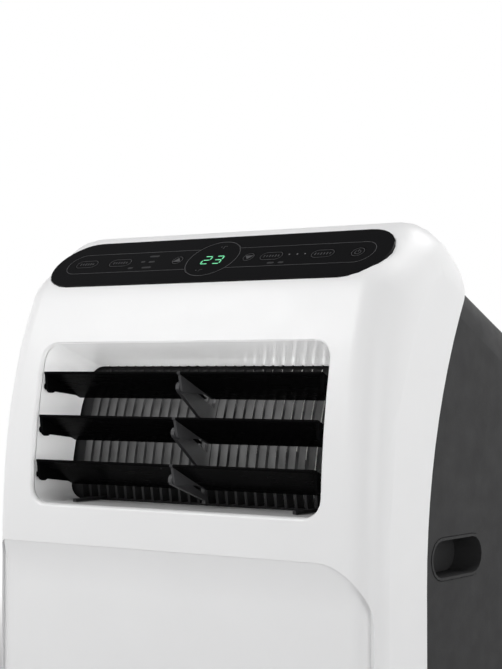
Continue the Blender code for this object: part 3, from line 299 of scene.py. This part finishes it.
FINISH = {
    "white": moulded("white_shell", (0.80, 0.80, 0.80), rough=0.38,
                     spread=0.008, grain=1600.0, grain_depth=0.05, grain_height=0.00006),
    "duct": moulded("white_duct", (0.86, 0.86, 0.86), rough=0.24,
                    spread=0.012, grain=1200.0, grain_depth=0.03, grain_height=0.00005,
                    rough_spread=0.02),
    "dark": textured_dark("charcoal_shell", (0.027, 0.027, 0.0275), rough=0.58),
    "black": moulded("black_louvre", (0.006, 0.006, 0.0065), rough=0.24,
                     spread=0.2, grain=1300.0, grain_depth=0.05, grain_height=0.00005,
                     rough_spread=0.07, ior=1.17, stretch=DRAWN_ALONG_X),
    "gloss": moulded("panel_gloss", (0.0036, 0.0036, 0.0040), rough=0.14,
                     spread=0.15, grain=300.0, grain_depth=0.01, grain_height=0.00005,
                     rough_spread=0.03, ior=1.18),
    "foam": beaded_foam("expanded_foam", (0.74, 0.74, 0.72)),
    "grey": moulded("grey_plastic", (0.085, 0.086, 0.088), rough=0.42,
                    spread=0.05, grain=1100.0, grain_depth=0.1, grain_height=0.00008),
    "steel": moulded("zinc_steel", (0.52, 0.52, 0.54), rough=0.36,
                     spread=0.08, grain=500.0, grain_depth=0.1, grain_height=0.00008,
                     rough_spread=0.1, metallic=1.0),
    # the second colour is painted shade in the gaps between the fins
    "fins": striped("coil_fins", (0.72, 0.73, 0.75), (0.10, 0.10, 0.11), rough=0.35,
                    pitch=0.0016, metallic=0.9),
    "copper": moulded("copper_tube", (0.72, 0.33, 0.18), rough=0.30,
                      spread=0.12, grain=600.0, grain_depth=0.1, grain_height=0.00008,
                      rough_spread=0.1, metallic=1.0),
    "board": moulded("circuit_board", (0.015, 0.13, 0.05), rough=0.45,
                     spread=0.15, grain=500.0, grain_depth=0.2),
    # the second colour is painted shade in the gaps between the threads
    "mesh": striped("filter_mesh", (0.09, 0.09, 0.10), (0.015, 0.015, 0.018), rough=0.8,
                    pitch=0.0014),
    "paint": moulded("black_paint", (0.012, 0.012, 0.013), rough=0.32,
                     spread=0.15, grain=350.0, grain_depth=0.25, grain_height=0.0002,
                     rough_spread=0.08),
    "tread": moulded("caster_tread", (0.035, 0.035, 0.036), rough=0.72,
                     spread=0.15, grain_depth=0.3, rough_spread=0.1),
}
GUARD = moulded("guard_black", (0.010, 0.010, 0.011), rough=0.50,
                spread=0.15, grain_depth=0.2, rough_spread=0.08, specular=0.3)
LENS = moulded("display_lens", (0.0032, 0.0032, 0.0036), rough=0.10,
               spread=0.15, grain=300.0, grain_depth=0.01, grain_height=0.00005,
               rough_spread=0.02, ior=1.18)
# The paler second colour is the ear's painted highlight, not a colour of its own.
BLADE = eared_blade("blade_black", (0.0032, 0.0032, 0.0034), (0.06, 0.06, 0.062),
                    ear_low=0.0019, ear_high=0.0047)
SATIN = {"spread": 0.1, "grain_depth": 0.1, "grain_height": 0.00005}
BRACKET = moulded("bracket_grey", (0.040, 0.040, 0.042), rough=0.45, **SATIN)
PRINT = moulded("printed_line", (0.060, 0.060, 0.062), rough=0.45, **SATIN)
PRINT_FAINT = moulded("printed_faint", (0.022, 0.022, 0.023), rough=0.45, **SATIN)
PRINT_BRIGHT = moulded("printed_bright", (0.20, 0.20, 0.205), rough=0.45, **SATIN)
DIGIT = lit("digit_green", (0.16, 0.66, 0.34), strength=0.72)


def smoothing():
    """A modifier tree that welds the mesh and shades it smooth up to an angle."""
    tree = bpy.data.node_groups.new("weld_and_smooth", "GeometryNodeTree")
    tree.interface.new_socket("Geometry", in_out="INPUT", socket_type="NodeSocketGeometry")
    tree.interface.new_socket("Geometry", in_out="OUTPUT", socket_type="NodeSocketGeometry")
    start, end = add(tree, "NodeGroupInput"), add(tree, "NodeGroupOutput")
    weld = add(tree, "GeometryNodeMergeByDistance")
    weld.inputs["Distance"].default_value = WELD_DISTANCE
    faces = add(tree, "GeometryNodeSetShadeSmooth", domain="FACE")
    faces.inputs["Shade Smooth"].default_value = True
    edges = add(tree, "GeometryNodeSetShadeSmooth", domain="EDGE")
    angle = add(tree, "GeometryNodeInputMeshEdgeAngle")
    flat = add(tree, "FunctionNodeCompare", data_type="FLOAT", operation="LESS_THAN")
    input_of(flat, "B").default_value = SMOOTH_ANGLE
    tree.links.new(angle.outputs["Unsigned Angle"], input_of(flat, "A"))
    tree.links.new(flat.outputs["Result"], edges.inputs["Shade Smooth"])
    tree.links.new(start.outputs[0], weld.inputs["Geometry"])
    tree.links.new(weld.outputs[0], faces.inputs["Geometry"])
    tree.links.new(faces.outputs[0], edges.inputs["Geometry"])
    tree.links.new(edges.outputs[0], end.inputs[0])
    return tree


SMOOTHING = smoothing()
SLOT_OF = {part["node"]: part["material_slot"] for part in frame["record"]["subparts"]}
OWN_FINISH = {"guard_grille": GUARD, "display_lens": LENS, "louvre_bracket": BRACKET,
              "louvre_1": BLADE, "louvre_2": BLADE, "louvre_3": BLADE}

for name, node in nodes.items():
    normals = node.data.attributes.get("custom_normal")
    if normals is not None:
        node.data.attributes.remove(normals)
    node.data.materials.clear()
    node.data.materials.append(OWN_FINISH.get(name, FINISH[SLOT_OF[name]]))
    node.modifiers.new("smooth", "NODES").node_group = SMOOTHING
    weighted = node.modifiers.new("weighted", "WEIGHTED_NORMAL")
    weighted.keep_sharp = True
    weighted.mode = "FACE_AREA"


# ---------------------------------------------------------------- panel graphics

def face_height(name):
    """Height of a node's outer face over the panel frame, in mm."""
    inverse = PANEL_FRAME.inverted()
    return max((inverse @ v.co).z for v in nodes[name].data.vertices) / MM


def stadium(u, v, half, radius, steps=12):
    """Closed outline of a slot with round ends."""
    points = []
    for side, first in ((1, -90), (-1, 90)):
        for k in range(steps + 1):
            a = math.radians(first + 180 * k / steps)
            points.append((u + side * half + radius * math.cos(a), v + radius * math.sin(a)))
    return points


def arc(u, v, radius, start, stop, steps=20):
    """Points on an arc from one angle to another, in degrees."""
    turns = [math.radians(start + (stop - start) * k / steps) for k in range(steps + 1)]
    return [(u + radius * math.cos(a), v + radius * math.sin(a)) for a in turns]


def circle(u, v, radius, sides):
    """Corners of a regular polygon that stands for a circle."""
    return arc(u, v, radius, 0, 360 - 360 / sides, sides - 1)


class Marks:
    """Thin flat shapes on the panel, gathered into one piece."""

    def __init__(self, name, node, body, mat):
        self.name, self.body, self.mat = name, body, mat
        self.low = face_height(node) - MARK_SUNK
        self.bm = bmesh.new()

    def solid(self, outline):
        """A filled polygon with a little thickness."""
        rings = []
        for level in (self.low, self.low + MARK_THICK):
            rings.append([self.bm.verts.new((u * MM, v * MM, level * MM)) for u, v in outline])
        self.bm.faces.new(rings[0][::-1])
        self.bm.faces.new(rings[1])
        count = len(outline)
        for i in range(count):
            j = (i + 1) % count
            self.bm.faces.new((rings[0][i], rings[0][j], rings[1][j], rings[1][i]))

    def dot(self, u, v, radius):
        """A filled round dot."""
        self.solid(circle(u, v, radius, DOT_SIDES))

    def line(self, points, width=LINE_WIDTH, closed=False):
        """A stroke of even width along the points."""
        count = len(points)
        left, right = [], []
        for i, (u, v) in enumerate(points):
            before = points[(i - 1) % count] if closed or i else points[i]
            after = points[(i + 1) % count] if closed or i < count - 1 else points[i]
            run = Vector((after[0] - before[0], after[1] - before[1])).normalized()
            side = Vector((-run.y, run.x)) * width / 2
            left.append((u + side.x, v + side.y))
            right.append((u - side.x, v - side.y))
        corners = []
        for level in (self.low, self.low + MARK_THICK):
            corners.append([[self.bm.verts.new((u * MM, v * MM, level * MM)) for u, v in edge]
                            for edge in (left, right)])
        (low_left, low_right), (high_left, high_right) = corners
        for i in range(count if closed else count - 1):
            j = (i + 1) % count
            self.bm.faces.new((high_left[i], high_right[i], high_right[j], high_left[j]))
            self.bm.faces.new((low_left[i], low_left[j], low_right[j], low_right[i]))
            self.bm.faces.new((low_left[i], high_left[i], high_left[j], low_left[j]))
            self.bm.faces.new((low_right[i], low_right[j], high_right[j], high_right[i]))
        if not closed:
            for i in (0, count - 1):
                self.bm.faces.new((low_left[i], low_right[i], high_right[i], high_left[i]))

    def finish(self):
        """Makes the object and lets it ride on its body."""
        bmesh.ops.recalc_face_normals(self.bm, faces=self.bm.faces[:])
        mesh = bpy.data.meshes.new(self.name)
        self.bm.to_mesh(mesh)
        self.bm.free()
        mesh.transform(PANEL_FRAME)
        mesh.materials.append(self.mat)
        obj = bpy.data.objects.new(self.name, mesh)
        bpy.context.scene.collection.objects.link(obj)
        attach(obj, self.body)


frame_line = Marks("panel_outline", "control_panel", "cabinet", PRINT)
gap_half = math.sqrt(RING_CLEAR ** 2 - OUTLINE_RADIUS ** 2)
for side, last_angle in ((-1, 270), (1, -90)):
    end = arc(side * OUTLINE_HALF, 0, OUTLINE_RADIUS, 90, last_angle)
    gap = side * gap_half
    frame_line.line([(gap, OUTLINE_RADIUS)] + end + [(gap, -OUTLINE_RADIUS)])
frame_line.finish()

ring = Marks("display_ring", "display_lens", "cabinet", PRINT)
ring.line(circle(0, 0, RING_RADIUS, RING_SIDES), RING_LINE, closed=True)
ring.finish()

# The bars of a seven-segment digit that are lit, each by its ends in a cell one wide and one high
TOP, BOTTOM, MIDDLE = ((0, 1), (1, 1)), ((0, 0), (1, 0)), ((0, 0.5), (1, 0.5))
UPPER_RIGHT, LOWER_RIGHT, LOWER_LEFT = ((1, 1), (1, 0.5)), ((1, 0.5), (1, 0)), ((0, 0.5), (0, 0))
SEGMENTS = {
    "2": (TOP, UPPER_RIGHT, MIDDLE, LOWER_LEFT, BOTTOM),
    "3": (TOP, UPPER_RIGHT, MIDDLE, LOWER_RIGHT, BOTTOM),
}


def segment_outline(start, end):
    """A bar with pointed ends, short of both corners."""
    a, b = Vector(start), Vector(end)
    run = (b - a).normalized()
    side = Vector((-run.y, run.x)) * SEGMENT_WIDTH / 2
    a, b = a + run * SEGMENT_GAP, b - run * SEGMENT_GAP
    inset = run * SEGMENT_WIDTH / 2
    corners = (a, a + inset + side, b - inset + side, b, b - inset - side, a + inset - side)
    return [tuple(p) for p in corners]


digits = Marks("temperature_digits", "display_lens", "cabinet", DIGIT)
cell_base, cell_height = DIGIT_BASE + DIGIT_MARGIN, DIGIT_HEIGHT - 2 * DIGIT_MARGIN
for left, figure in DIGITS:
    for ends in SEGMENTS[figure]:
        cell = [(left + x * DIGIT_WIDTH, cell_base + y * cell_height) for x, y in ends]
        digits.solid(segment_outline(*cell))
digits.finish()

# A dot and a hooked stroke over the digits, and the same under them
units = Marks("display_marks", "display_lens", "cabinet", PRINT)
for dot_place, hook in (((-0.5, 15.4), ((2.2, 13.2), (2.2, 15.9), (4.6, 15.9))),
                        ((-6.5, -14.9), ((-3.6, -16.6), (-3.6, -14.0), (-1.2, -14.0)))):
    units.dot(*dot_place, SMALL_DOT)
    units.line(hook, THIN_LINE)
units.finish()

dots = Marks("speed_dots", "control_panel", "cabinet", PRINT_BRIGHT)
for u in SPEED_DOTS_X:
    dots.dot(u, SPEED_DOTS_Y, SPEED_DOT)
dots.finish()

ICONS = (   # centre and width of each pill
    (-73.5, -8.0, 5.0), (-58.0, -8.0, 9.0), (-59.0, 7.0, 9.5), (-66.0, 0.0, 4.0),
    (-57.5, -0.5, 6.0), (57.0, -9.0, 6.0), (66.0, -9.0, 5.0),
)
icons = Marks("mode_icons", "control_panel", "cabinet", PRINT_FAINT)
for u, v, width in ICONS:
    icons.solid(stadium(u, v, width / 2 - ICON_RADIUS, ICON_RADIUS, ICON_STEPS))
icons.finish()


def bars(marks, u):
    """A row of short upright bars, where a key has its word."""
    middle = (len(BAR_HALVES) - 1) / 2
    for k, half in enumerate(BAR_HALVES):
        at = u + (k - middle) * BAR_PITCH
        marks.line([(at, -half), (at, half)], BAR_WIDTH)


def arrow(u, tip):
    """Corners of a triangle that points up the slope, or down it where the tip is negative."""
    foot = -tip * ARROW_FOOT
    return [(u - ARROW_HALF, foot), (u + ARROW_HALF, foot), (u, tip)]


def arrow_up(marks, u):
    """A filled triangle that points up the slope."""
    marks.solid(arrow(u, ARROW_TIP))


def arrow_down(marks, u):
    """A filled triangle that points down the slope, its corners still anticlockwise."""
    marks.solid(arrow(u, -ARROW_TIP)[::-1])


def power_sign(marks, u):
    """An open ring with a stroke in its gap."""
    marks.line(arc(u, POWER_DROP, POWER_RADIUS, POWER_OPENS, POWER_CLOSES), POWER_LINE)
    marks.line([(u, v) for v in POWER_STROKE], POWER_LINE)


KEYS = {   # centre, half length, end radius and what is printed on the key
    "key_timer": (-122.2, 10.5, 4.9, bars), "key_mode": (-88.6, 10.5, 4.9, bars),
    "key_up": (-32.8, 4.6, 4.9, arrow_up), "key_down": (32.8, 4.6, 4.9, arrow_down),
    "key_speed": (53.1, 9.7, 4.9, bars), "key_swing": (97.4, 9.5, 4.9, bars),
    "key_power": (126.8, 5.2, 5.2, power_sign),
}
for key, (u, half, radius, glyph) in KEYS.items():
    marks = Marks(key + "_marks", key, key, PRINT)
    marks.line(stadium(u, 0, half - radius, radius - KEY_LINE_INSET), THIN_LINE, closed=True)
    glyph(marks, u)
    marks.finish()


# ---------------------------------------------------------------- stage, light and camera

def stage_floor():
    """A round pale floor that fades to the backdrop's white far from the object."""
    bm = bmesh.new()
    bmesh.ops.create_circle(bm, cap_ends=True, segments=96, radius=FLOOR_RADIUS)
    mesh = bpy.data.meshes.new("floor")
    bm.to_mesh(mesh)
    bm.free()
    obj = bpy.data.objects.new("floor", mesh)
    bpy.context.scene.collection.objects.link(obj)
    mat = bpy.data.materials.new("floor_pale")
    mat.use_nodes = True
    tree = mat.node_tree
    shader = tree.nodes["Principled BSDF"]
    shader.inputs["Roughness"].default_value = 0.9
    shader.inputs["Specular IOR Level"].default_value = 0.1
    shader.inputs["Base Color"].default_value = (0.60, 0.60, 0.605, 1.0)
    place = add(tree, "ShaderNodeTexCoord")
    length = add(tree, "ShaderNodeVectorMath", operation="LENGTH")
    tree.links.new(place.outputs["Object"], length.inputs[0])
    glow = add(tree, "ShaderNodeEmission")
    glow.inputs["Strength"].default_value = 1.0
    glow.inputs["Color"].default_value = (1.0, 1.0, 1.0, 1.0)
    blend = add(tree, "ShaderNodeMixShader")
    tree.links.new(remap(tree, length.outputs["Value"], 0.0, 1.0, *FLOOR_FADE), blend.inputs["Fac"])
    tree.links.new(shader.outputs[0], blend.inputs[1])
    tree.links.new(glow.outputs[0], blend.inputs[2])
    tree.links.new(blend.outputs[0], tree.nodes["Material Output"].inputs["Surface"])
    mesh.materials.append(mat)


def backdrop_light():
    """White surroundings that darken overhead."""
    world = bpy.data.worlds.new("studio")
    bpy.context.scene.world = world
    world.use_nodes = True
    tree = world.node_tree
    place = add(tree, "ShaderNodeTexCoord")
    split = add(tree, "ShaderNodeSeparateXYZ")
    tree.links.new(place.outputs["Generated"], split.inputs[0])
    factor = remap(tree, split.outputs["Z"], 0.0, 1.0, *HORIZON_FADE)
    colour = mix_color(tree, factor, (1.0, 1.0, 1.0), (0.16, 0.16, 0.165))
    tree.links.new(colour, tree.nodes["Background"].inputs["Color"])
    tree.nodes["Background"].inputs["Strength"].default_value = 1.0


def only_for(obj, names):
    """The light reaches only these nodes, and only they shade it."""
    linking = obj.light_linking
    for kind in ("receiver", "blocker"):
        group = bpy.data.collections.new(obj.name + "_" + kind)
        for name in names:
            group.objects.link(nodes[name])
        setattr(linking, kind + "_collection", group)


def softbox(name, place, aim, width, height, watts):
    """A rectangular area light aimed at a point."""
    light = bpy.data.lights.new(name, "AREA")
    light.shape = "RECTANGLE"
    light.size, light.size_y = width, height
    light.energy = watts
    obj = bpy.data.objects.new(name, light)
    bpy.context.scene.collection.objects.link(obj)
    obj.location = place
    obj.rotation_euler = (Vector(aim) - Vector(place)).to_track_quat("-Z", "Y").to_euler()
    obj.visible_camera = False
    return obj


# Place and aim, width and height in metres, power in watts, and the only nodes it lights, if named
SOFTBOXES = {
    "key_softbox": ((-0.75, -1.15, 1.45), (0.0, -0.12, 0.58), 0.8, 0.8, 13.0, ()),
    "right_softbox": ((2.4, -0.8, 0.9), (0.0, 0.0, 0.5), 1.2, 1.6, 15.0, ()),
    "top_softbox": ((0.7, 1.0, 2.2), (0.0, 0.0, 0.66), 1.2, 1.2, 25.0, ()),
    "throat_glow": ((0.0, -0.045, 0.541), (0.0, -0.2, 0.541), 0.22, 0.06, 0.14, ()),
    "duct_fill": ((0.0, -0.118, 0.50), (0.0, -0.112, 0.6), 0.15, 0.03, 0.19,
                  ("outlet_duct", "front_shell")),
    "floor_fill": ((0.0, -0.118, 0.56), (0.0, -0.118, 0.4), 0.18, 0.04, 0.018, ("outlet_duct",)),
}

stage_floor()
backdrop_light()
for name, (place, aim, width, height, watts, only_nodes) in SOFTBOXES.items():
    lamp = softbox(name, place, aim, width, height, watts)
    if only_nodes:
        only_for(lamp, only_nodes)

camera_data = bpy.data.cameras.new("camera")
camera_data.sensor_fit = "VERTICAL"
camera_data.sensor_height = CAMERA_SENSOR
camera_data.lens = CAMERA_LENS
camera_data.clip_end = CAMERA_REACH
camera = bpy.data.objects.new("camera", camera_data)
bpy.context.scene.collection.objects.link(camera)
camera.location = CAMERA_PLACE
sight = Vector((-math.sin(CAMERA_TURN) * math.cos(CAMERA_PITCH),
                math.cos(CAMERA_TURN) * math.cos(CAMERA_PITCH),
                math.sin(CAMERA_PITCH)))
camera.rotation_euler = sight.to_track_quat("-Z", "Y").to_euler()
bpy.context.scene.camera = camera
bpy.context.scene.view_settings.view_transform = "Standard"
